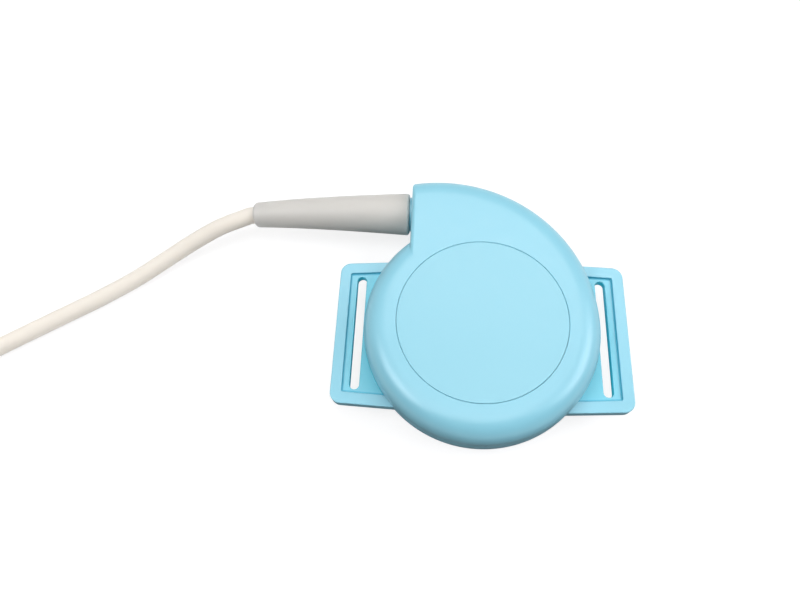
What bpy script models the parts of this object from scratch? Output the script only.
"""Belt-worn ultrasound transducer for fetal heart monitoring.

A shallow snail-shaped housing of two moulded shells lies on its patient face.
The lower shell carries two belt wings with a slot in each, and holds seven
crystals, their carrier, a damping pad and a round circuit board. The cable
leaves the snout through a tapered strain relief and ends in a round plug.

Units are metres, +Z is up, and the origin is the centre of the patient face.
"""

import math

import bmesh
import bpy
from mathutils import Matrix, Vector

# Housing outline seen from above: a disc that runs out into a snail arc and stops at a flat snout face
DISC_RADIUS = 0.0400
SNAIL_RADIUS = 0.0555
SNAIL_START = math.radians(-2.3)
SNOUT_FACE_X = -0.0250
SNOUT_CORNER = 0.0012
SNOUT_ROOT = 0.0015

# Housing heights above the patient face
HOUSING_HEIGHT = 0.0270
PARTING_HEIGHT = 0.0149
UNDERSIDE_HEIGHT = 0.0024

# Elliptic edge roundings: how far each reaches in, and how much height it takes
TOP_EDGE_REACH = 0.0065
TOP_EDGE_DROP = 0.0083
BASE_EDGE_REACH = 0.0075
BASE_EDGE_RISE = 0.0090
SNOUT_EDGE = 0.0015

# Walls and the clearance between neighbouring pieces
WALL = 0.0030
CEILING = 0.0022
FLOOR = 0.0024
WINDOW = 0.0018
GAP = 0.0003

# Label disc, bare, let into the top face
LABEL_RADIUS = 0.02825
LABEL_THICKNESS = 0.0010

# Sealing groove in the lower shell, the tongue of the cover above it and the gasket between them
GROOVE_WIDTH = 0.0014
GROOVE_DEPTH = 0.0016
TONGUE_DEPTH = 0.0007

# Belt wings, moulded in one plate with the lower shell
WING_HALF_WIDTH = 0.0507
WING_HALF_HEIGHT = 0.02595
WING_TAPER = 0.050
WING_OFFSET_Y = -0.0010
WING_THICKNESS = 0.0039
WING_CORNER = 0.0038
WING_EDGE = 0.0005
RIM_WIDTH = 0.0039
RIM_TAPER = 0.060
RECESS_DEPTH = 0.0010
RECESS_CORNER = 0.0005
SLOT_WIDTH = 0.0033
SLOT_LENGTH = 0.0420
SLOT_CENTRE_X = 0.04266

# Crystals bonded to the patient window
CRYSTAL_RADIUS = 0.0060
CRYSTAL_THICKNESS = 0.0020
CRYSTAL_CIRCLE = 0.0170
CARRIER_MARGIN = 0.0025
CARRIER_THICKNESS = 0.0025
PAD_THICKNESS = 0.0025
WELL_MARGIN = 0.0035
FACE_PAD_WALL = 0.0020
FACE_PAD_EDGE = 0.0015

# Housing screws under the label disc
HOUSING_SCREW_COUNT = 3
HOUSING_SCREW_ANGLE = math.radians(30)
HOUSING_SCREW_SHANK = 0.00125
HOUSING_SCREW_LENGTH = 0.0150
HOUSING_SCREW_HEAD = 0.0024
HOUSING_SCREW_HEAD_HEIGHT = 0.0016
HOUSING_SCREW_COVER = 0.00085
BASE_BOSS_RADIUS = 0.0030
COVER_BOSS_WALL = 0.0009

# Circuit board and its screws
BOARD_HEIGHT = 0.0100
BOARD_THICKNESS = 0.0016
BOARD_MARGIN = 0.0037
BOARD_POST_RADIUS = 0.0024
BOARD_SCREW_SHANK = 0.0009
BOARD_SCREW_HEAD = 0.0018
BOARD_SCREW_HEAD_HEIGHT = 0.0012
BOARD_SCREW_LENGTH = 0.0050
BOARD_SCREW_COUNT = 3
BOARD_SCREW_ANGLE = math.radians(90)

# Strain relief: a soft taper that buts on a short collar of the snout and is held by a flange inside
RELIEF_FROM_ARC = 0.0092
RELIEF_LENGTH = 0.0600
RELIEF_ROOT_RADIUS = 0.00785
RELIEF_TIP_RADIUS = 0.00485
RELIEF_ROOT_EDGE = 0.0007
RELIEF_TIP_EDGE = 0.0013
RELIEF_SAG = 0.0017
RELIEF_CROWN = 0.0004
RELIEF_NECK_RADIUS = 0.0046
RELIEF_FLANGE_THICKNESS = 0.0016
RELIEF_BORE_DEPTH = 0.0060
COLLAR_RADIUS = 0.00645
COLLAR_LENGTH = 0.0011

# Cable clamp inside the snout: an arch over the cable, with one screw through its ear
CLAMP_WIDTH = 0.0050
CLAMP_ARCH_WALL = 0.0014
CLAMP_EAR_HEIGHT = 0.0020
CLAMP_FROM_FLANGE = 0.0035
CLAMP_SIDE = 0.0095
CLAMP_SCREW_REACH = 0.0068
CLAMP_SCREW_SHANK = 0.0009
CLAMP_SCREW_HEAD = 0.0017
CLAMP_SCREW_HEAD_HEIGHT = 0.0012
CLAMP_SCREW_LENGTH = 0.0080

# Header, wire plug and parts on the board: (width, depth, height), and (x, y) places
HEADER_SIZE = (0.0124, 0.0056, 0.0040)
HEADER_Y = 0.0210
HEADER_WALL = 0.0006
WIRE_PLUG_SIZE = (0.0112, 0.0036, 0.0034)
CHIP_SIZE = (0.0102, 0.0076, 0.0022)
CHIP_PLACES = {"amplifier_chip": (-0.0090, 0.0020), "driver_chip": (0.0090, 0.0020)}
TRANSFORMER_RADIUS = 0.0048
TRANSFORMER_HEIGHT = 0.0060
TRANSFORMER_PLACE = (0.0, -0.0120)

# Cable and its wires
CABLE_RADIUS = 0.00325
CABLE_STRIP = 0.0030
WIRE_RADIUS = 0.00055
WIRE_PITCH = 0.0025
WIRE_FAN = 0.0016
WIRE_RUN_OUT = 0.0040
WIRE_BACK = 0.0060
WIRE_RISE = 0.0042
WIRE_COLOURS = {
    "red": (0.55, 0.03, 0.03),
    "white": (0.80, 0.80, 0.78),
    "green": (0.05, 0.35, 0.10),
    "black": (0.03, 0.03, 0.03),
}

# Cord outside the housing: points chosen by hand along its middle, from the strain relief's tip onward
CORD_ROUTE = [
    (-0.0930, 0.0444, 0.0125),
    (-0.0987, 0.0427, 0.0114),
    (-0.1045, 0.0403, 0.0100),
    (-0.1102, 0.0375, 0.0084),
    (-0.1159, 0.0343, 0.0069),
    (-0.1215, 0.0308, 0.0056),
    (-0.1270, 0.0271, 0.0046),
    (-0.1323, 0.0234, 0.0038),
    (-0.1374, 0.0200, 0.0034),
    (-0.1474, 0.0134, 0.0033),
    (-0.1573, 0.0074, 0.0033),
    (-0.1670, 0.0016, 0.0033),
    (-0.1767, -0.0042, 0.0033),
    (-0.1860, -0.0098, 0.0035),
]

# Stored coil of the cord, and the strap that ties it
COIL_MIDDLE_RADIUS = 0.0355
COIL_COLUMNS = 3
COIL_ROWS = 4
COIL_CENTRE = (-0.2437, 0.0063)
COIL_ENTRY = math.radians(-58.5)
COIL_EXIT = math.radians(-90)
TAIL_LENGTH = 0.0220
TIE_THICKNESS = 0.0008
TIE_SPAN = math.radians(22)
TIE_ANGLE = math.radians(75)

# Plug on the cable's far end
PLUG_RADIUS = 0.0085
PLUG_BOOT_LENGTH = 0.0260
PLUG_BOOT_TIP_RADIUS = 0.0045
PLUG_GRIP_LENGTH = 0.0240
PLUG_SHELL_RADIUS = 0.0070
PLUG_SHELL_LENGTH = 0.0120
PLUG_SHELL_WALL = 0.0008
PLUG_PIN_RADIUS = 0.0005
PLUG_PIN_LENGTH = 0.0045
PLUG_PIN_CIRCLE = 0.0035
PLUG_PIN_COUNT = 6
PLUG_RIDGE_COUNT = 4

# Facets
DISC_STEPS = 46
SNAIL_STEPS = 22
CORNER_STEPS = 3
EDGE_STEPS = 6
INNER_EDGE_STEPS = 3
ROUND_STEPS = 24
SMALL_STEPS = 12

# Sizes that follow from the ones above
CABLE_Z = PARTING_HEIGHT
COVER_BOTTOM = PARTING_HEIGHT + GAP
LABEL_FLOOR = HOUSING_HEIGHT - LABEL_THICKNESS - GAP
CEILING_Z = LABEL_FLOOR - CEILING
INNER_FLOOR = UNDERSIDE_HEIGHT + FLOOR
SCREW_HEAD_HOLE = HOUSING_SCREW_HEAD + GAP
SCREW_CIRCLE = LABEL_RADIUS - HOUSING_SCREW_COVER - SCREW_HEAD_HOLE + GAP
CARRIER_RADIUS = CRYSTAL_CIRCLE + CRYSTAL_RADIUS + CARRIER_MARGIN
WELL_RADIUS = CARRIER_RADIUS + WELL_MARGIN
FACE_PAD_RADIUS = WELL_RADIUS + FACE_PAD_WALL
CRYSTAL_Z = WINDOW + GAP
PAD_Z = CRYSTAL_Z + max(CARRIER_THICKNESS, CRYSTAL_THICKNESS) + GAP
BOARD_SCREW_CIRCLE = CARRIER_RADIUS + 2 * GAP + BOARD_POST_RADIUS + COVER_BOSS_WALL
BOARD_RADIUS = BOARD_SCREW_CIRCLE + BOARD_MARGIN
BOARD_TOP = BOARD_HEIGHT + BOARD_THICKNESS
CLAMP_EAR_TOP = PARTING_HEIGHT + CLAMP_EAR_HEIGHT
CABLE_DIAMETER = 2 * CABLE_RADIUS
CORD_POINT_SPACING = 2.2 * CABLE_DIAMETER
COIL_FLOOR = TIE_THICKNESS + GAP
COIL_OUTER = COIL_MIDDLE_RADIUS + COIL_COLUMNS * CABLE_RADIUS
COIL_INNER = COIL_MIDDLE_RADIUS - COIL_COLUMNS * CABLE_RADIUS
COIL_HEIGHT = COIL_ROWS * CABLE_DIAMETER


# Materials

def material(name, colour, roughness, metallic=0.0):
    """A Principled material with one colour, roughness and metallic value."""
    made = bpy.data.materials.new(name)
    made.use_nodes = True
    shader = made.node_tree.nodes["Principled BSDF"]
    shader.inputs["Base Color"].default_value = (*colour, 1.0)
    shader.inputs["Roughness"].default_value = roughness
    shader.inputs["Metallic"].default_value = metallic
    made.diffuse_color = (*colour, 1.0)
    return made


# Mesh helpers

def mesh_object(name, build, finish=None):
    """A new object whose mesh is what build(bm) makes, shaded smooth but for its sharp edges."""
    bm = bmesh.new()
    build(bm)
    bmesh.ops.recalc_face_normals(bm, faces=bm.faces)
    mesh = bpy.data.meshes.new(name)
    bm.to_mesh(mesh)
    bm.free()
    mesh.shade_smooth()
    mesh.set_sharp_from_angle(angle=math.radians(35))
    made = bpy.data.objects.new(name, mesh)
    bpy.context.scene.collection.objects.link(made)
    if finish:
        mesh.materials.append(finish)
    return made


def guide(name, build):
    """A helper solid that only cuts or adds to another piece."""
    made = mesh_object(name, build)
    made.hide_render = True
    made.display_type = "WIRE"
    return made


def shape_with(target, tool, operation):
    """Cut target with a tool, or grow it by one, through a live Boolean modifier."""
    step = target.modifiers.new(tool.name, "BOOLEAN")
    step.operation = operation
    step.solver = "EXACT"
    step.object = tool


def add_loft(bm, loops):
    """Skin a stack of closed loops that all have the same number of points, and cap both ends."""
    rings = [[bm.verts.new(point) for point in loop] for loop in loops]
    count = len(rings[0])
    for low, high in zip(rings, rings[1:]):
        for i in range(count):
            j = (i + 1) % count
            bm.faces.new((low[i], low[j], high[j], high[i]))
    bm.faces.new(list(reversed(rings[0])))
    bm.faces.new(rings[-1])


def add_closed_loft(bm, loops):
    """Skin loops into a ring: the last loop joins the first, so there is no cap."""
    rings = [[bm.verts.new(point) for point in loop] for loop in loops]
    count = len(rings[0])
    for low, high in zip(rings, rings[1:] + rings[:1]):
        for i in range(count):
            j = (i + 1) % count
            bm.faces.new((low[i], low[j], high[j], high[i]))


def add_turned(bm, profile, steps, place=Matrix.Identity(4), skin=add_loft):
    """Turn a profile of (radius, height) points once round its own Z axis, then move it by place."""
    turns = [math.tau * i / steps for i in range(steps)]
    skin(bm, [[place @ Vector((radius * math.cos(turn), radius * math.sin(turn), height)) for turn in turns]
              for radius, height in profile])


def add_rod(bm, radius, low, high, steps, x=0.0, y=0.0):
    """An upright round rod between two heights."""
    profile = [(radius, low), (radius, high)]
    add_turned(bm, profile, steps, Matrix.Translation((x, y, 0.0)))


def add_box(bm, low, high):
    """A box between two corners."""
    corners = bmesh.ops.create_cube(bm, size=1.0)["verts"]
    size = [b - a for a, b in zip(low, high)]
    middle = [(a + b) / 2 for a, b in zip(low, high)]
    bmesh.ops.scale(bm, vec=size, verts=corners)
    bmesh.ops.translate(bm, vec=middle, verts=corners)


def along_x(x, y, z):
    """Places a turned piece with its axis along +X, its own zero height at the given point."""
    return Matrix.Translation((x, y, z)) @ Matrix.Rotation(math.radians(90), 4, "Y")


def ring_places(count, radius, start=0.0):
    """Points spaced evenly round a circle about the housing's axis."""
    turns = [start + math.tau * i / count for i in range(count)]
    return [(radius * math.cos(turn), radius * math.sin(turn)) for turn in turns]


# Housing outline

def arc_points(centre, radius, start, end, steps):
    """Points from the start angle to the end angle, both included."""
    turns = [start + (end - start) * i / steps for i in range(steps + 1)]
    return [(centre[0] + radius * math.cos(t), centre[1] + radius * math.sin(t)) for t in turns]


def snail_centre():
    """The snail arc and the disc touch at SNAIL_START, so their centres lie on one line with it."""
    reach = SNAIL_RADIUS - DISC_RADIUS
    return -reach * math.cos(SNAIL_START), -reach * math.sin(SNAIL_START)


def housing_outline(inset, face_inset):
    """The housing's outline moved in by inset, and by face_inset at the flat snout face."""
    centre_x, centre_y = snail_centre()
    disc = DISC_RADIUS - inset
    snail = SNAIL_RADIUS - inset
    face_x = SNOUT_FACE_X + face_inset
    root_x = face_x - SNOUT_ROOT
    root_y = math.sqrt((disc + SNOUT_ROOT) ** 2 - root_x ** 2)
    corner_x = face_x + SNOUT_CORNER
    corner_y = centre_y + math.sqrt((snail - SNOUT_CORNER) ** 2 - (corner_x - centre_x) ** 2)
    root_turn = math.atan2(root_y, root_x)
    corner_turn = math.atan2(corner_y - centre_y, corner_x - centre_x)
    points = arc_points((0.0, 0.0), disc, root_turn, math.tau + SNAIL_START, DISC_STEPS)
    points += arc_points((centre_x, centre_y), snail, SNAIL_START, corner_turn, SNAIL_STEPS)[1:]
    points += arc_points((corner_x, corner_y), SNOUT_CORNER, corner_turn, math.pi, CORNER_STEPS)[1:]
    points += arc_points((root_x, root_y), SNOUT_ROOT, 0.0, root_turn - math.pi, CORNER_STEPS)[:-1]
    return points


def at_height(outline, z):
    """Lift a flat outline to a height."""
    return [(x, y, z) for x, y in outline]


def rounded_levels(reach, rise, steps, inner=0.0):
    """(inset, rise) pairs up a quarter of an ellipse, from the upright wall to the flat face."""
    turns = [math.pi / 2 * i / steps for i in range(steps + 1)]
    return [(inner + reach * (1 - math.cos(turn)), rise * math.sin(turn)) for turn in turns]


def snout_edge_inset(depth):
    """How far the snout face draws in at a depth below the flat face of its shell."""
    short = min(max(SNOUT_EDGE - depth, 0.0), SNOUT_EDGE)
    return SNOUT_EDGE - math.sqrt(SNOUT_EDGE ** 2 - short ** 2)


def relief_axis_y():
    """The strain relief sits a set distance in from where the snail arc meets the snout face."""
    centre_x, centre_y = snail_centre()
    return centre_y + math.sqrt(SNAIL_RADIUS ** 2 - (SNOUT_FACE_X - centre_x) ** 2) - RELIEF_FROM_ARC


def relief_flange_radius():
    """The flange fills the room between the relief's axis and the snout's inner wall."""
    return RELIEF_FROM_ARC - WALL - GAP


# Belt wing outline

def wing_outline(half_width, half_height, taper, corner):
    """A plate symmetric about X whose long edges spread apart towards the middle."""
    slope = math.atan(taper)
    middle = half_height + taper * half_width
    centre_x = half_width - corner
    centre_y = middle - taper * centre_x - corner / math.cos(slope)
    right = arc_points((centre_x, centre_y), corner, 0.0, math.pi / 2 - slope, 2 * CORNER_STEPS)
    upper = right + [(0.0, middle)] + [(-x, y) for x, y in reversed(right)]
    lower = [(x, -y) for x, y in reversed(upper)]
    return [(x, y + WING_OFFSET_Y) for x, y in upper + lower]


def wing_plate(bm):
    """The whole plate before the housing is joined to it, with its edges eased."""
    low = PARTING_HEIGHT - WING_THICKNESS

    def loop(inset, z):
        half_width = WING_HALF_WIDTH - inset
        half_height = WING_HALF_HEIGHT - inset
        return at_height(wing_outline(half_width, half_height, WING_TAPER, WING_CORNER - inset), z)

    add_loft(bm, [loop(WING_EDGE, low), loop(0.0, low + WING_EDGE), loop(0.0, PARTING_HEIGHT - WING_EDGE),
                  loop(WING_EDGE, PARTING_HEIGHT)])


def wing_recess(bm):
    """The shallow tray inside the rim of the plate."""
    flat = wing_outline(WING_HALF_WIDTH - RIM_WIDTH, WING_HALF_HEIGHT - RIM_WIDTH, RIM_TAPER, RECESS_CORNER)
    add_loft(bm, [at_height(flat, PARTING_HEIGHT - RECESS_DEPTH), at_height(flat, PARTING_HEIGHT + WALL)])


def belt_slots(bm):
    """A long slot with round ends through each wing."""
    radius = SLOT_WIDTH / 2
    end_y = SLOT_LENGTH / 2 - radius
    low = PARTING_HEIGHT - 2 * WING_THICKNESS
    for x in (-SLOT_CENTRE_X, SLOT_CENTRE_X):
        flat = arc_points((x, WING_OFFSET_Y + end_y), radius, 0.0, math.pi, SMALL_STEPS // 2)
        flat += arc_points((x, WING_OFFSET_Y - end_y), radius, math.pi, math.tau, SMALL_STEPS // 2)
        add_loft(bm, [at_height(flat, low), at_height(flat, PARTING_HEIGHT + WALL)])


# Features that both shells share

def relief_bore(bm):
    """The round way through the snout wall and its collar for the strain relief's neck."""
    x = SNOUT_FACE_X - 2 * COLLAR_LENGTH
    length = WALL + 3 * COLLAR_LENGTH
    radius = RELIEF_NECK_RADIUS + GAP
    profile = [(radius, 0.0), (radius, length)]
    add_turned(bm, profile, ROUND_STEPS, along_x(x, relief_axis_y(), CABLE_Z))


def half_collar(bm, upper):
    """Half of the collar that the strain relief buts on, above or below the parting plane."""
    x = SNOUT_FACE_X - COLLAR_LENGTH
    profile = [(COLLAR_RADIUS, 0.0), (COLLAR_RADIUS, COLLAR_LENGTH + WALL / 2)]
    add_turned(bm, profile, ROUND_STEPS, along_x(x, relief_axis_y(), CABLE_Z))
    height = COVER_BOTTOM if upper else PARTING_HEIGHT
    bmesh.ops.bisect_plane(bm, geom=bm.verts[:] + bm.edges[:] + bm.faces[:], plane_co=(0, 0, height),
                           plane_no=(0, 0, 1), clear_inner=upper, clear_outer=not upper)
    rim = [edge for edge in bm.edges if edge.is_boundary]
    bmesh.ops.contextual_create(bm, geom=rim)


def groove_loops(side_gap, low, high):
    """Four loops round the middle of the wall: outer low, outer high, inner high, inner low."""
    outer = WALL / 2 - GROOVE_WIDTH / 2 + side_gap
    inner = WALL / 2 + GROOVE_WIDTH / 2 - side_gap
    corners = ((outer, low), (outer, high), (inner, high), (inner, low))
    return [at_height(housing_outline(inset, inset), z) for inset, z in corners]


# Top cover

def cover_shell(bm):
    """One lofted skin: down the outside, round the tongue at the parting edge and up the inside."""
    levels = []
    for inset, rise in reversed(rounded_levels(TOP_EDGE_REACH, TOP_EDGE_DROP, EDGE_STEPS)):
        z = HOUSING_HEIGHT - TOP_EDGE_DROP + rise
        levels.append((inset, snout_edge_inset(HOUSING_HEIGHT - z), z))
    tongue_out = WALL / 2 - GROOVE_WIDTH / 2 + GAP
    tongue_in = WALL - tongue_out
    tongue_z = COVER_BOTTOM - TONGUE_DEPTH
    levels.append((0.0, 0.0, COVER_BOTTOM))
    levels += [(tongue_out, tongue_out, COVER_BOTTOM), (tongue_out, tongue_out, tongue_z)]
    levels += [(tongue_in, tongue_in, tongue_z), (tongue_in, tongue_in, COVER_BOTTOM)]
    levels.append((WALL, WALL, COVER_BOTTOM))
    spring = HOUSING_HEIGHT - TOP_EDGE_DROP
    for inset, rise in rounded_levels(TOP_EDGE_REACH - WALL / 2, CEILING_Z - spring, INNER_EDGE_STEPS, WALL):
        levels.append((inset, WALL, spring + rise))
    add_loft(bm, [at_height(housing_outline(inset, face), z) for inset, face, z in levels])


def cover_bosses(bm):
    """Round posts under the ceiling that meet the bosses of the lower shell."""
    radius = SCREW_HEAD_HOLE + COVER_BOSS_WALL
    for x, y in ring_places(HOUSING_SCREW_COUNT, SCREW_CIRCLE, HOUSING_SCREW_ANGLE):
        add_rod(bm, radius, COVER_BOTTOM, CEILING_Z + CEILING / 2, SMALL_STEPS, x, y)


def cover_screw_holes(bm):
    """A counterbore for each screw head, and a clear hole down through its post."""
    seat = screw_seat()
    for x, y in ring_places(HOUSING_SCREW_COUNT, SCREW_CIRCLE, HOUSING_SCREW_ANGLE):
        hole = HOUSING_SCREW_SHANK + GAP
        profile = [(hole, COVER_BOTTOM - GAP), (hole, seat), (SCREW_HEAD_HOLE, seat),
                   (SCREW_HEAD_HOLE, HOUSING_HEIGHT)]
        add_turned(bm, profile, SMALL_STEPS, Matrix.Translation((x, y, 0.0)))


def label_recess(bm):
    """The round recess in the top face for the label disc."""
    add_rod(bm, LABEL_RADIUS + GAP, LABEL_FLOOR, HOUSING_HEIGHT + CEILING, 2 * ROUND_STEPS)


def screw_seat():
    """Height of the shoulder that a housing screw's head pulls on."""
    return LABEL_FLOOR - 2 * GAP - HOUSING_SCREW_HEAD_HEIGHT - CEILING / 2


def build_cover(finish):
    """Snail-shaped upper shell with its label recess, screw posts and half of the collar."""
    cover = mesh_object("top_cover", cover_shell, finish)
    shape_with(cover, guide("cover_collar", lambda bm: half_collar(bm, True)), "UNION")
    shape_with(cover, guide("cover_bosses", cover_bosses), "UNION")
    shape_with(cover, guide("cover_bore", relief_bore), "DIFFERENCE")
    shape_with(cover, guide("label_recess", label_recess), "DIFFERENCE")
    shape_with(cover, guide("cover_screw_holes", cover_screw_holes), "DIFFERENCE")


def build_label(finish):
    """Flush round disc in the top face, over the heads of the housing screws."""
    ease = GAP / 2
    low = LABEL_FLOOR + GAP
    profile = [(LABEL_RADIUS, low), (LABEL_RADIUS, HOUSING_HEIGHT - ease)]
    profile.append((LABEL_RADIUS - ease, HOUSING_HEIGHT))
    mesh_object("label_disc", lambda bm: add_turned(bm, profile, 2 * ROUND_STEPS), finish)


# Lower shell with the belt wings

def base_body(bm):
    """The lower shell's outer form, still solid."""
    levels = []
    for inset, rise in reversed(rounded_levels(BASE_EDGE_REACH, BASE_EDGE_RISE, EDGE_STEPS)):
        z = UNDERSIDE_HEIGHT + BASE_EDGE_RISE - rise
        levels.append((inset, snout_edge_inset(z - UNDERSIDE_HEIGHT), z))
    levels.append((0.0, 0.0, PARTING_HEIGHT))
    add_loft(bm, [at_height(housing_outline(inset, face), z) for inset, face, z in levels])


def patient_pad(bm):
    """The raised round contact face under the crystals."""
    ease = FACE_PAD_EDGE
    turns = [math.pi / 2 * i / CORNER_STEPS for i in range(CORNER_STEPS + 1)]
    edge = [(FACE_PAD_RADIUS - ease + ease * math.sin(t), ease - ease * math.cos(t)) for t in turns]
    profile = edge + [(FACE_PAD_RADIUS, INNER_FLOOR - GAP)]
    add_turned(bm, profile, 2 * ROUND_STEPS)


def base_cavity(bm):
    """The hollow of the lower shell, open at the parting plane."""
    spring = UNDERSIDE_HEIGHT + BASE_EDGE_RISE
    levels = []
    edge = rounded_levels(BASE_EDGE_REACH - WALL / 2, spring - INNER_FLOOR, INNER_EDGE_STEPS, WALL)
    for inset, rise in reversed(edge):
        levels.append((inset, WALL, spring - rise))
    levels.append((WALL, WALL, PARTING_HEIGHT + WALL))
    add_loft(bm, [at_height(housing_outline(inset, face), z) for inset, face, z in levels])


def crystal_well(bm):
    """The round well that thins the floor to the acoustic window."""
    add_rod(bm, WELL_RADIUS, WINDOW, INNER_FLOOR + FLOOR, 2 * ROUND_STEPS)


def base_posts(bm):
    """Screw bosses and board posts, which stand on the floor, and the cable saddle in the snout."""
    foot = WINDOW / 2
    for x, y in ring_places(HOUSING_SCREW_COUNT, SCREW_CIRCLE, HOUSING_SCREW_ANGLE):
        add_rod(bm, BASE_BOSS_RADIUS, foot, PARTING_HEIGHT, SMALL_STEPS, x, y)
    for x, y in ring_places(BOARD_SCREW_COUNT, BOARD_SCREW_CIRCLE, BOARD_SCREW_ANGLE):
        add_rod(bm, BOARD_POST_RADIUS, INNER_FLOOR - FLOOR / 2, BOARD_HEIGHT - GAP, SMALL_STEPS, x, y)


def cable_saddle(bm):
    """The block that the clamp is screwed to, run into the snout's wall and sloped as its edge is."""
    start_x, end_x = clamp_span()
    side = relief_axis_y() - CLAMP_SIDE
    wall = saddle_wall_y()
    low = INNER_FLOOR - FLOOR / 2
    top = PARTING_HEIGHT - GAP
    outline = [(side, low), (wall - BASE_EDGE_REACH * 2 / 3, low), (wall, low + BASE_EDGE_RISE / 2)]
    outline += [(wall, top), (side, top)]
    add_loft(bm, [[(x, y, z) for y, z in outline] for x in (start_x, end_x)])


def clamp_span():
    """Where the clamp starts and ends along the cable."""
    start = relief_flange_x() + RELIEF_FLANGE_THICKNESS + CLAMP_FROM_FLANGE
    return start, start + CLAMP_WIDTH


def relief_flange_x():
    """The outer side of the strain relief's flange, just inside the snout wall."""
    return SNOUT_FACE_X + WALL + GAP


def saddle_wall_y():
    """The middle of the snout's curved wall beside the clamp."""
    centre_x, centre_y = snail_centre()
    start_x, end_x = clamp_span()
    reach = max(abs(start_x - centre_x), abs(end_x - centre_x))
    return centre_y + math.sqrt((SNAIL_RADIUS - WALL / 2) ** 2 - reach ** 2)


def base_screw_holes(bm):
    """Blind holes for the housing screws, the board screws and the clamp screws."""
    hole_end = screw_seat() + GAP - HOUSING_SCREW_LENGTH - GAP
    top = PARTING_HEIGHT + GAP
    for x, y in ring_places(HOUSING_SCREW_COUNT, SCREW_CIRCLE, HOUSING_SCREW_ANGLE):
        add_rod(bm, HOUSING_SCREW_SHANK + GAP, hole_end, top, SMALL_STEPS, x, y)
    for x, y in ring_places(BOARD_SCREW_COUNT, BOARD_SCREW_CIRCLE, BOARD_SCREW_ANGLE):
        add_rod(bm, BOARD_SCREW_SHANK + GAP, BOARD_TOP - BOARD_SCREW_LENGTH, BOARD_HEIGHT, SMALL_STEPS, x, y)
    x, y = clamp_screw_place()
    add_rod(bm, CLAMP_SCREW_SHANK + GAP, CLAMP_EAR_TOP - CLAMP_SCREW_LENGTH, top, SMALL_STEPS, x, y)


def clamp_screw_place():
    """The clamp's one screw, on its side towards the disc."""
    start_x, end_x = clamp_span()
    return (start_x + end_x) / 2, relief_axis_y() - CLAMP_SCREW_REACH


def cable_channel(bm):
    """A round channel for the cable through the saddle."""
    start_x, end_x = clamp_span()
    radius = CABLE_RADIUS + GAP
    length = end_x - start_x + 2 * GAP
    profile = [(radius, 0.0), (radius, length)]
    add_turned(bm, profile, SMALL_STEPS, along_x(start_x - GAP, relief_axis_y(), CABLE_Z))


def build_base(finish):
    """Lower shell and belt wings, one moulding."""
    base = mesh_object("base_housing", wing_plate, finish)
    shape_with(base, guide("wing_recess", wing_recess), "DIFFERENCE")
    shape_with(base, guide("belt_slots", belt_slots), "DIFFERENCE")
    shape_with(base, guide("base_body", base_body), "UNION")
    shape_with(base, guide("patient_pad", patient_pad), "UNION")
    shape_with(base, guide("base_collar", lambda bm: half_collar(bm, False)), "UNION")
    shape_with(base, guide("base_cavity", base_cavity), "DIFFERENCE")
    shape_with(base, guide("crystal_well", crystal_well), "DIFFERENCE")
    shape_with(base, guide("base_posts", base_posts), "UNION")
    shape_with(base, guide("cable_saddle", cable_saddle), "UNION")
    shape_with(base, guide("base_screw_holes", base_screw_holes), "DIFFERENCE")
    shape_with(base, guide("cable_channel", cable_channel), "DIFFERENCE")
    groove = groove_loops(0.0, PARTING_HEIGHT - GROOVE_DEPTH, PARTING_HEIGHT + WALL)
    shape_with(base, guide("gasket_groove", lambda bm: add_closed_loft(bm, groove)), "DIFFERENCE")
    shape_with(base, guide("base_bore", relief_bore), "DIFFERENCE")


def build_gasket(finish):
    """Silicone cord in the groove, open where the strain relief's neck passes through the wall."""
    low = PARTING_HEIGHT - GROOVE_DEPTH + GAP
    high = COVER_BOTTOM - TONGUE_DEPTH - GAP
    loops = groove_loops(GAP, low, high)
    gasket = mesh_object("housing_gasket", lambda bm: add_closed_loft(bm, loops), finish)
    shape_with(gasket, guide("gasket_bore", relief_bore), "DIFFERENCE")


# Screws

def screw_mesh(name, shank, length, head, head_height, finish):
    """A cheese-head screw with a cross recess, its seat at its own zero height."""

    def build(bm):
        ease = shank / 3
        profile = [(shank - ease, -length), (shank, -length + ease), (shank, 0.0), (head, 0.0),
                   (head, head_height - ease), (head - ease, head_height)]
        add_turned(bm, profile, SMALL_STEPS)

    return mesh_object(name, build, finish)


def screw_group(name, places, z, sizes, finish):
    """Identical screws at their places, sharing one mesh."""
    first = None
    for number, (x, y) in enumerate(places, start=1):
        if first is None:
            first = screw_mesh(f"{name}_{number}", *sizes, finish)
            made = first
        else:
            made = bpy.data.objects.new(f"{name}_{number}", first.data)
            bpy.context.scene.collection.objects.link(made)
        made.location = (x, y, z)


def build_screws(finish):
    """Housing, board and clamp screws, each a clearance above its seat."""
    housing = (HOUSING_SCREW_SHANK, HOUSING_SCREW_LENGTH, HOUSING_SCREW_HEAD, HOUSING_SCREW_HEAD_HEIGHT)
    places = ring_places(HOUSING_SCREW_COUNT, SCREW_CIRCLE, HOUSING_SCREW_ANGLE)
    screw_group("housing_screw", places, screw_seat() + GAP, housing, finish)
    board = (BOARD_SCREW_SHANK, BOARD_SCREW_LENGTH, BOARD_SCREW_HEAD, BOARD_SCREW_HEAD_HEIGHT)
    places = ring_places(BOARD_SCREW_COUNT, BOARD_SCREW_CIRCLE, BOARD_SCREW_ANGLE)
    screw_group("board_screw", places, BOARD_TOP + GAP, board, finish)
    clamp = (CLAMP_SCREW_SHANK, CLAMP_SCREW_LENGTH, CLAMP_SCREW_HEAD, CLAMP_SCREW_HEAD_HEIGHT)
    made = screw_mesh("clamp_screw", *clamp, finish)
    made.location = (*clamp_screw_place(), CLAMP_EAR_TOP + GAP)


# Acoustic stack

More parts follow.
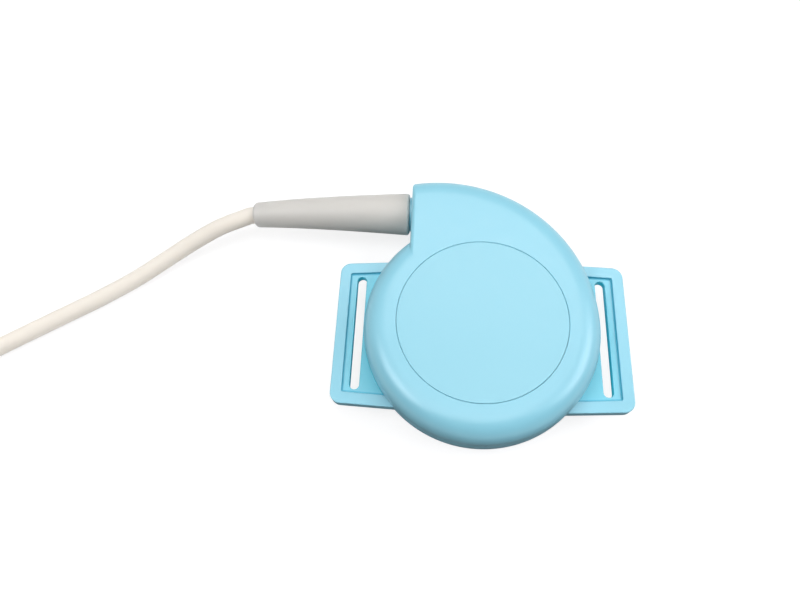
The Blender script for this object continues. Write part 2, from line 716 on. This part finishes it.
def crystal_places():
    """One crystal in the middle and a ring of six round it."""
    return [(0.0, 0.0)] + ring_places(6, CRYSTAL_CIRCLE)


def boss_clearance(bm):
    """Room for the screw bosses in what lies between them."""
    for x, y in ring_places(HOUSING_SCREW_COUNT, SCREW_CIRCLE, HOUSING_SCREW_ANGLE):
        add_rod(bm, BASE_BOSS_RADIUS + GAP, 0.0, PARTING_HEIGHT, SMALL_STEPS, x, y)


def build_acoustics(ceramic, plastic, foam):
    """Seven crystals on the window, the carrier that spaces them, and the pad that damps them."""

    def crystal_form(bm):
        add_rod(bm, CRYSTAL_RADIUS, 0.0, CRYSTAL_THICKNESS, ROUND_STEPS)

    def carrier_form(bm):
        add_rod(bm, CARRIER_RADIUS, CRYSTAL_Z, CRYSTAL_Z + CARRIER_THICKNESS, 2 * ROUND_STEPS)

    def pockets(bm):
        for x, y in crystal_places():
            add_rod(bm, CRYSTAL_RADIUS + GAP, 0.0, PAD_Z + GAP, ROUND_STEPS, x, y)

    def pad_form(bm):
        add_rod(bm, CARRIER_RADIUS, PAD_Z, PAD_Z + PAD_THICKNESS, 2 * ROUND_STEPS)

    for number, (x, y) in enumerate(crystal_places(), start=1):
        crystal = mesh_object(f"crystal_{number}", crystal_form, ceramic)
        crystal.location = (x, y, CRYSTAL_Z)
    carrier = mesh_object("crystal_carrier", carrier_form, plastic)
    shape_with(carrier, guide("carrier_pockets", pockets), "DIFFERENCE")
    shape_with(carrier, guide("carrier_notches", boss_clearance), "DIFFERENCE")
    pad = mesh_object("damping_pad", pad_form, foam)
    shape_with(pad, guide("pad_notches", boss_clearance), "DIFFERENCE")


# Circuit board


def board_holes(bm):
    """Clearance round the housing's bosses, and a hole for each board screw."""
    for x, y in ring_places(HOUSING_SCREW_COUNT, SCREW_CIRCLE, HOUSING_SCREW_ANGLE):
        add_rod(bm, BASE_BOSS_RADIUS + GAP, BOARD_HEIGHT - GAP, BOARD_TOP + GAP, SMALL_STEPS, x, y)
    for x, y in ring_places(BOARD_SCREW_COUNT, BOARD_SCREW_CIRCLE, BOARD_SCREW_ANGLE):
        add_rod(bm, BOARD_SCREW_SHANK + GAP, BOARD_HEIGHT - GAP, BOARD_TOP + GAP, SMALL_STEPS, x, y)


def box_object(name, size, x, y, z, finish):
    """A block on the board with its top edges eased, standing at height z."""

    def build(bm):
        add_box(bm, (-size[0] / 2, -size[1] / 2, 0.0), (size[0] / 2, size[1] / 2, size[2]))
        top_edges = [edge for edge in bm.edges if all(vert.co.z > size[2] / 2 for vert in edge.verts)]
        bmesh.ops.bevel(bm, geom=top_edges, offset=GAP, segments=1, affect="EDGES")

    made = mesh_object(name, build, finish)
    made.location = (x, y, z)
    return made


def build_board(laminate, dark, pale, wire_finish):
    """Round board with its amplifier, driver, transformer and the header for the cable's wires."""

    def disc(bm):
        add_rod(bm, BOARD_RADIUS, BOARD_HEIGHT, BOARD_TOP, 2 * ROUND_STEPS)

    board = mesh_object("circuit_board", disc, laminate)
    shape_with(board, guide("board_holes", board_holes), "DIFFERENCE")
    z = BOARD_TOP + GAP
    for name, (x, y) in CHIP_PLACES.items():
        box_object(name, CHIP_SIZE, x, y, z, dark)
    ease = TRANSFORMER_RADIUS / 8
    waist = TRANSFORMER_RADIUS * 0.82
    profile = [(TRANSFORMER_RADIUS, 0.0), (TRANSFORMER_RADIUS, ease), (waist, 2 * ease),
               (waist, TRANSFORMER_HEIGHT - 2 * ease), (TRANSFORMER_RADIUS, TRANSFORMER_HEIGHT - ease),
               (TRANSFORMER_RADIUS, TRANSFORMER_HEIGHT)]
    transformer = mesh_object("transformer", lambda bm: add_turned(bm, profile, ROUND_STEPS), dark)
    transformer.location = (*TRANSFORMER_PLACE, z)
    header = box_object("wire_header", HEADER_SIZE, 0.0, HEADER_Y, z, pale)
    socket_low = (-WIRE_PLUG_SIZE[0] / 2 - GAP, HEADER_Y - WIRE_PLUG_SIZE[1] / 2 - GAP, z + HEADER_WALL)
    socket_high = (-socket_low[0], HEADER_Y + WIRE_PLUG_SIZE[1] / 2 + GAP, z + 2 * HEADER_SIZE[2])
    shape_with(header, guide("header_socket", lambda bm: add_box(bm, socket_low, socket_high)), "DIFFERENCE")
    box_object("wire_plug", WIRE_PLUG_SIZE, 0.0, HEADER_Y, z + HEADER_WALL + GAP, wire_finish)


# Curves and tubes

def smooth_path(route, spacing):
    """Evenly spaced points on a smooth curve through the route's points."""
    points = [Vector(point) for point in route]
    ends = [2 * points[0] - points[1]] + points + [2 * points[-1] - points[-2]]
    fine = []
    for a, b, c, d in zip(ends, ends[1:], ends[2:], ends[3:]):
        for i in range(24):
            t = i / 24
            fine.append(0.5 * (2 * b + (c - a) * t + (2 * a - 5 * b + 4 * c - d) * t ** 2
                               + (3 * b - a - 3 * c + d) * t ** 3))
    fine.append(points[-1])
    lengths = [0.0]
    for a, b in zip(fine, fine[1:]):
        lengths.append(lengths[-1] + (b - a).length)
    count = max(2, round(lengths[-1] / spacing))
    even = []
    at = 0
    for i in range(count + 1):
        goal = lengths[-1] * i / count
        while at < len(fine) - 2 and lengths[at + 1] < goal:
            at += 1
        share = (goal - lengths[at]) / (lengths[at + 1] - lengths[at])
        even.append(fine[at].lerp(fine[at + 1], min(share, 1.0)))
    return even


def tube_object(name, points, radius, resolution, finish):
    """A round tube with filled ends along a list of points."""
    data = bpy.data.curves.new(name, "CURVE")
    data.dimensions = "3D"
    data.bevel_depth = radius
    data.bevel_resolution = resolution
    data.use_fill_caps = True
    spline = data.splines.new("POLY")
    spline.points.add(len(points) - 1)
    for place, point in zip(spline.points, points):
        place.co = (*point, 1.0)
    data.materials.append(finish)
    made = bpy.data.objects.new(name, data)
    bpy.context.scene.collection.objects.link(made)
    return made


# Strain relief

def relief_middle(distance):
    """The centre of the strain relief at a distance out from the collar."""
    start_x = SNOUT_FACE_X - COLLAR_LENGTH - GAP
    share = max(distance, 0.0) / RELIEF_LENGTH
    lift = RELIEF_CROWN * 4 * share * (1 - share) - RELIEF_SAG * share ** 3
    return Vector((start_x - distance, relief_axis_y(), CABLE_Z + lift))


def relief_direction(distance):
    """Which way the strain relief points there."""
    step = RELIEF_LENGTH / 100
    return (relief_middle(distance + step) - relief_middle(max(distance - step, 0.0))).normalized()


def relief_circle(distance, radius):
    """A ring of points round the strain relief's centre line."""
    middle = relief_middle(distance)
    out = relief_direction(distance) if distance > 0.0 else Vector((-1.0, 0.0, 0.0))
    side = Vector((0.0, 1.0, 0.0))
    up = side.cross(out)
    turns = [math.tau * i / ROUND_STEPS for i in range(ROUND_STEPS)]
    return [middle + radius * (math.cos(turn) * side + math.sin(turn) * up) for turn in turns]


def relief_body(bm):
    """Flange, neck and taper as one skin, with a blind bore at the tip for the cable."""
    inside = COLLAR_LENGTH + GAP + WALL + GAP
    flange = relief_flange_radius()
    rings = [(-inside - RELIEF_FLANGE_THICKNESS, flange), (-inside, flange),
             (-inside, RELIEF_NECK_RADIUS), (0.0, RELIEF_NECK_RADIUS)]
    turns = [math.pi / 2 * i / CORNER_STEPS for i in range(CORNER_STEPS + 1)]
    for turn in turns:
        rings.append((RELIEF_ROOT_EDGE * (1 - math.cos(turn)),
                      RELIEF_ROOT_RADIUS - RELIEF_ROOT_EDGE * (1 - math.sin(turn))))
    body = RELIEF_LENGTH - RELIEF_ROOT_EDGE - RELIEF_TIP_EDGE
    for i in range(1, EDGE_STEPS):
        share = i / EDGE_STEPS
        radius = RELIEF_ROOT_RADIUS + (RELIEF_TIP_RADIUS - RELIEF_ROOT_RADIUS) * share
        rings.append((RELIEF_ROOT_EDGE + body * share, radius))
    for turn in turns:
        rings.append((RELIEF_LENGTH - RELIEF_TIP_EDGE * (1 - math.sin(turn)),
                      RELIEF_TIP_RADIUS - RELIEF_TIP_EDGE * (1 - math.cos(turn))))
    bore = CABLE_RADIUS + GAP
    rings += [(RELIEF_LENGTH, bore), (RELIEF_LENGTH - RELIEF_BORE_DEPTH, bore)]
    add_loft(bm, [relief_circle(distance, radius) for distance, radius in rings])


# Cable inside the snout

def clamp_form(bm):
    """The arch and its two feet as one outline across the cable, drawn out along it."""
    start_x, end_x = clamp_span()
    y = relief_axis_y()
    channel = CABLE_RADIUS + GAP
    arch = channel + CLAMP_ARCH_WALL
    lean = math.asin(CLAMP_EAR_HEIGHT / arch)
    outline = [(clamp_wall_y(), CABLE_Z), (clamp_wall_y(), CLAMP_EAR_TOP)]
    outline += arc_points((y, CABLE_Z), arch, lean, math.pi - lean, SMALL_STEPS)
    outline += [(y - CLAMP_SIDE, CLAMP_EAR_TOP), (y - CLAMP_SIDE, CABLE_Z)]
    outline += arc_points((y, CABLE_Z), channel, math.pi, 0.0, SMALL_STEPS)
    add_loft(bm, [[(x, side, z) for side, z in outline] for x in (start_x, end_x)])


def clamp_hole(bm):
    """Clear hole for the clamp's screw."""
    x, y = clamp_screw_place()
    add_rod(bm, CLAMP_SCREW_SHANK + GAP, PARTING_HEIGHT - GAP, CLAMP_EAR_TOP + GAP, SMALL_STEPS, x, y)


def build_cable_end(jacket, clamp_finish):
    """The jacketed end behind the flange, its clamp, and four wires down to the wire plug."""
    start_x, end_x = clamp_span()
    y = relief_axis_y()
    inner_x = relief_flange_x() + RELIEF_FLANGE_THICKNESS + GAP
    stop_x = end_x + CABLE_STRIP
    jacket_route = [(inner_x, y, CABLE_Z), (stop_x, y, CABLE_Z)]
    tube_object("cable_end", smooth_path(jacket_route, CABLE_DIAMETER), CABLE_RADIUS, 3, jacket)
    clamp = mesh_object("cable_clamp", clamp_form, clamp_finish)
    shape_with(clamp, guide("clamp_hole", clamp_hole), "DIFFERENCE")
    plug_top = BOARD_TOP + GAP + HEADER_WALL + GAP + WIRE_PLUG_SIZE[2]
    for number, (colour, value) in enumerate(WIRE_COLOURS.items()):
        side = number - (len(WIRE_COLOURS) - 1) / 2
        finish = material(f"{colour} wire", value, 0.5)
        wire_x = side * WIRE_PITCH
        start = Vector((stop_x + GAP, y + side * WIRE_FAN, CABLE_Z))
        lead = start + Vector((WIRE_RUN_OUT / 4, 0.0, 0.0))
        bend = lead + Vector((WIRE_RUN_OUT + side * WIRE_FAN, -WIRE_RUN_OUT / 2, 0.0))
        crest = Vector((wire_x, HEADER_Y + WIRE_BACK, plug_top + WIRE_RISE))
        slope = bend.lerp(crest, 0.3)
        end = Vector((wire_x, HEADER_Y, plug_top + GAP))
        above = end + Vector((0.0, 0.0, WIRE_RISE / 2))
        route = [start, *smooth_path([lead, bend, slope, crest, above, end], WIRE_PITCH)]
        tube_object(f"wire_{colour}", route, WIRE_RADIUS, 1, finish)


def clamp_wall_y():
    """The clamp stops a clearance short of the snout's curved inner wall."""
    centre_x, centre_y = snail_centre()
    start_x, end_x = clamp_span()
    reach = max(abs(start_x - centre_x), abs(end_x - centre_x))
    return centre_y + math.sqrt((SNAIL_RADIUS - WALL) ** 2 - reach ** 2) - GAP


# Cord outside the housing

def build_cord(jacket, strap):
    """The loose stretch of cord, the stored coil, its tie and the short tail to the plug."""
    bore_end = relief_middle(RELIEF_LENGTH - RELIEF_BORE_DEPTH + GAP)
    mouth = relief_middle(RELIEF_LENGTH + CABLE_RADIUS / 2)
    free = smooth_path([mouth, *CORD_ROUTE, coil_entry()], CORD_POINT_SPACING)
    tube_object("cord_tube", [bore_end, *free], CABLE_RADIUS, 3, jacket)
    build_coil(jacket)
    build_tie(strap)
    tube_object("cord_tail", smooth_path(tail_route(), CORD_POINT_SPACING), CABLE_RADIUS, 3, jacket)


def build_coil(jacket):
    """The outer form of the coil's turns, a ring with rounded edges lying on its tie."""

    def ring(bm):
        place = Matrix.Translation((*COIL_CENTRE, 0.0))
        add_turned(bm, coil_section(0.0), 2 * ROUND_STEPS, place, add_closed_loft)

    mesh_object("cord_coil", ring, jacket)


def coil_section(grow):
    """The (radius, height) outline of the coil's section, grown on all sides."""
    half_width = (COIL_OUTER - COIL_INNER) / 2 + grow
    half_height = COIL_HEIGHT / 2 + grow
    corner = CABLE_RADIUS + grow
    middle = COIL_FLOOR + COIL_HEIGHT / 2
    points = []
    for out, up, start in ((1, -1, -math.pi / 2), (1, 1, 0.0), (-1, 1, math.pi / 2), (-1, -1, math.pi)):
        centre = (COIL_MIDDLE_RADIUS + out * (half_width - corner), middle + up * (half_height - corner))
        points += arc_points(centre, corner, start, start + math.pi / 2, CORNER_STEPS)
    return points


def build_tie(strap):
    """A strap wrapped round the section of the coil, following its curve."""
    turns = [TIE_ANGLE + TIE_SPAN * (i / CORNER_STEPS - 0.5) for i in range(CORNER_STEPS + 1)]
    outer, inner = coil_section(GAP + TIE_THICKNESS), coil_section(GAP)
    order = [(outer, turn) for turn in turns] + [(inner, turn) for turn in reversed(turns)]

    def band(bm):
        loops = []
        for points, turn in order:
            place = Matrix.Translation((*COIL_CENTRE, 0.0)) @ Matrix.Rotation(turn, 4, "Z")
            loops.append([place @ Vector((radius, 0.0, height)) for radius, height in points])
        add_closed_loft(bm, loops)

    mesh_object("coil_tie", band, strap)


def coil_tangent_end(turn, along, z):
    """Where a tube on the tangent of the outermost turn reaches the ring, behind or past its touch point."""
    lay = COIL_OUTER - CABLE_RADIUS
    reach = along * math.sqrt((COIL_OUTER + GAP) ** 2 - (lay - CABLE_RADIUS) ** 2)
    x = COIL_CENTRE[0] + lay * math.cos(turn) + reach * math.sin(turn)
    y = COIL_CENTRE[1] + lay * math.sin(turn) - reach * math.cos(turn)
    return Vector((x, y, z))


def coil_entry():
    """The end of the loose cord, at the ring's outer side and lying as low as the coil."""
    return coil_tangent_end(COIL_ENTRY, -1, COIL_FLOOR + CABLE_RADIUS)


def tail_route():
    """From the coil's outer side straight to the boot of the plug."""
    start = coil_tangent_end(COIL_EXIT, 1, PLUG_RADIUS)
    end = plug_point(-GAP)
    return [start, (start + end) / 2, end]


# Plug

def plug_place():
    """The plug lies on its side in line with the tail: its own axis runs level, away from the coil."""
    start = coil_tangent_end(COIL_EXIT, 1, PLUG_RADIUS)
    heading = COIL_EXIT - math.pi / 2
    back = start + TAIL_LENGTH * Vector((math.cos(heading), math.sin(heading), 0.0))
    return (Matrix.Translation(back) @ Matrix.Rotation(heading, 4, "Z")
            @ Matrix.Rotation(math.radians(90), 4, "Y"))


def plug_point(distance):
    """A point on the plug's axis, measured from the back of its boot."""
    return plug_place() @ Vector((0.0, 0.0, distance))


def build_plug(soft, hard, metal, insulator, contact):
    """Boot, grip, metal shell, contact insert and pins, one behind the other on one axis."""
    place = plug_place()
    boot_profile = [(PLUG_BOOT_TIP_RADIUS - GAP, 0.0), (PLUG_BOOT_TIP_RADIUS, GAP),
                    (PLUG_RADIUS * 0.82, PLUG_BOOT_LENGTH)]
    mesh_object("plug_boot", lambda bm: add_turned(bm, boot_profile, ROUND_STEPS, place), soft)

    start = PLUG_BOOT_LENGTH + GAP
    end = start + PLUG_GRIP_LENGTH
    ease = PLUG_RADIUS / 8
    ridge = PLUG_GRIP_LENGTH * 0.5 / PLUG_RIDGE_COUNT
    profile = [(PLUG_RADIUS - ease, start), (PLUG_RADIUS, start + ease)]
    for i in range(PLUG_RIDGE_COUNT):
        low = start + PLUG_GRIP_LENGTH * 0.2 + i * ridge
        groove = PLUG_RADIUS - ease / 2
        profile += [(PLUG_RADIUS, low), (groove, low + ridge * 0.25), (groove, low + ridge * 0.5),
                    (PLUG_RADIUS, low + ridge * 0.75)]
    profile += [(PLUG_RADIUS, end - ease), (PLUG_RADIUS - ease, end)]
    mesh_object("plug_grip", lambda bm: add_turned(bm, profile, ROUND_STEPS, place), hard)

    start = end + GAP
    end = start + PLUG_SHELL_LENGTH
    inner = PLUG_SHELL_RADIUS - PLUG_SHELL_WALL
    back = start + PLUG_SHELL_LENGTH / 6
    shell = [(PLUG_SHELL_RADIUS, start), (PLUG_SHELL_RADIUS, end), (inner, end), (inner, back)]
    mesh_object("plug_shell", lambda bm: add_turned(bm, shell, ROUND_STEPS, place), metal)

    insert_start = back + GAP
    insert_end = insert_start + PLUG_SHELL_LENGTH / 3
    insert_radius = inner - GAP
    block = [(insert_radius, insert_start), (insert_radius, insert_end)]
    insert = mesh_object("plug_insert", lambda bm: add_turned(bm, block, ROUND_STEPS, place), insulator)
    sink = PLUG_PIN_LENGTH / 3
    places = ring_places(PLUG_PIN_COUNT, PLUG_PIN_CIRCLE, math.radians(30))

    def sockets(bm):
        for x, y in places:
            hole = [(PLUG_PIN_RADIUS + GAP, insert_end - sink), (PLUG_PIN_RADIUS + GAP, insert_end + sink)]
            add_turned(bm, hole, SMALL_STEPS // 2, place @ Matrix.Translation((x, y, 0.0)))

    shape_with(insert, guide("insert_sockets", sockets), "DIFFERENCE")
    low = insert_end - sink + GAP
    high = low + PLUG_PIN_LENGTH
    tip = PLUG_PIN_RADIUS / 2
    pin = [(PLUG_PIN_RADIUS, low), (PLUG_PIN_RADIUS, high - tip), (tip, high)]
    for number, (x, y) in enumerate(places, start=1):
        spot = place @ Matrix.Translation((x, y, 0.0))
        mesh_object(f"plug_pin_{number}", lambda bm: add_turned(bm, pin, SMALL_STEPS // 2, spot), contact)


def clear_scene():
    """Start from an empty scene."""
    for old in list(bpy.data.objects):
        bpy.data.objects.remove(old, do_unlink=True)


def build_transducer():
    """All pieces, each with its own finish."""
    blue = material("pale blue moulding", (0.40, 0.77, 0.90), 0.34)
    disc_blue = material("pale blue disc", (0.40, 0.76, 0.89), 0.38)
    grey = material("warm grey elastomer", (0.60, 0.59, 0.56), 0.50)
    cream = material("off-white cable jacket", (0.86, 0.80, 0.74), 0.42)
    build_cover(blue)
    build_label(disc_blue)
    build_base(blue)
    build_gasket(material("clear silicone", (0.75, 0.75, 0.72), 0.55))
    build_screws(material("plated steel", (0.62, 0.62, 0.64), 0.30, 1.0))
    ceramic = material("ceramic", (0.72, 0.66, 0.52), 0.45)
    carrier = material("white nylon", (0.82, 0.82, 0.80), 0.50)
    build_acoustics(ceramic, carrier, material("grey foam", (0.22, 0.22, 0.23), 0.90))
    laminate = material("green laminate", (0.03, 0.22, 0.10), 0.35)
    component = material("black component", (0.03, 0.03, 0.03), 0.45)
    header = material("header nylon", (0.80, 0.78, 0.70), 0.50)
    build_board(laminate, component, header, material("wire plug nylon", (0.85, 0.85, 0.83), 0.50))
    mesh_object("strain_relief", relief_body, grey)
    build_cable_end(cream, material("grey clamp nylon", (0.45, 0.46, 0.47), 0.50))
    build_cord(cream, material("white tie strap", (0.70, 0.72, 0.74), 0.75))
    grip = material("grey plug moulding", (0.50, 0.50, 0.49), 0.45)
    shell = material("nickel plug shell", (0.66, 0.64, 0.60), 0.25, 1.0)
    insert = material("black plug insert", (0.04, 0.04, 0.04), 0.50)
    build_plug(grey, grip, shell, insert, material("gilt contacts", (0.83, 0.62, 0.28), 0.25, 1.0))


clear_scene()
build_transducer()
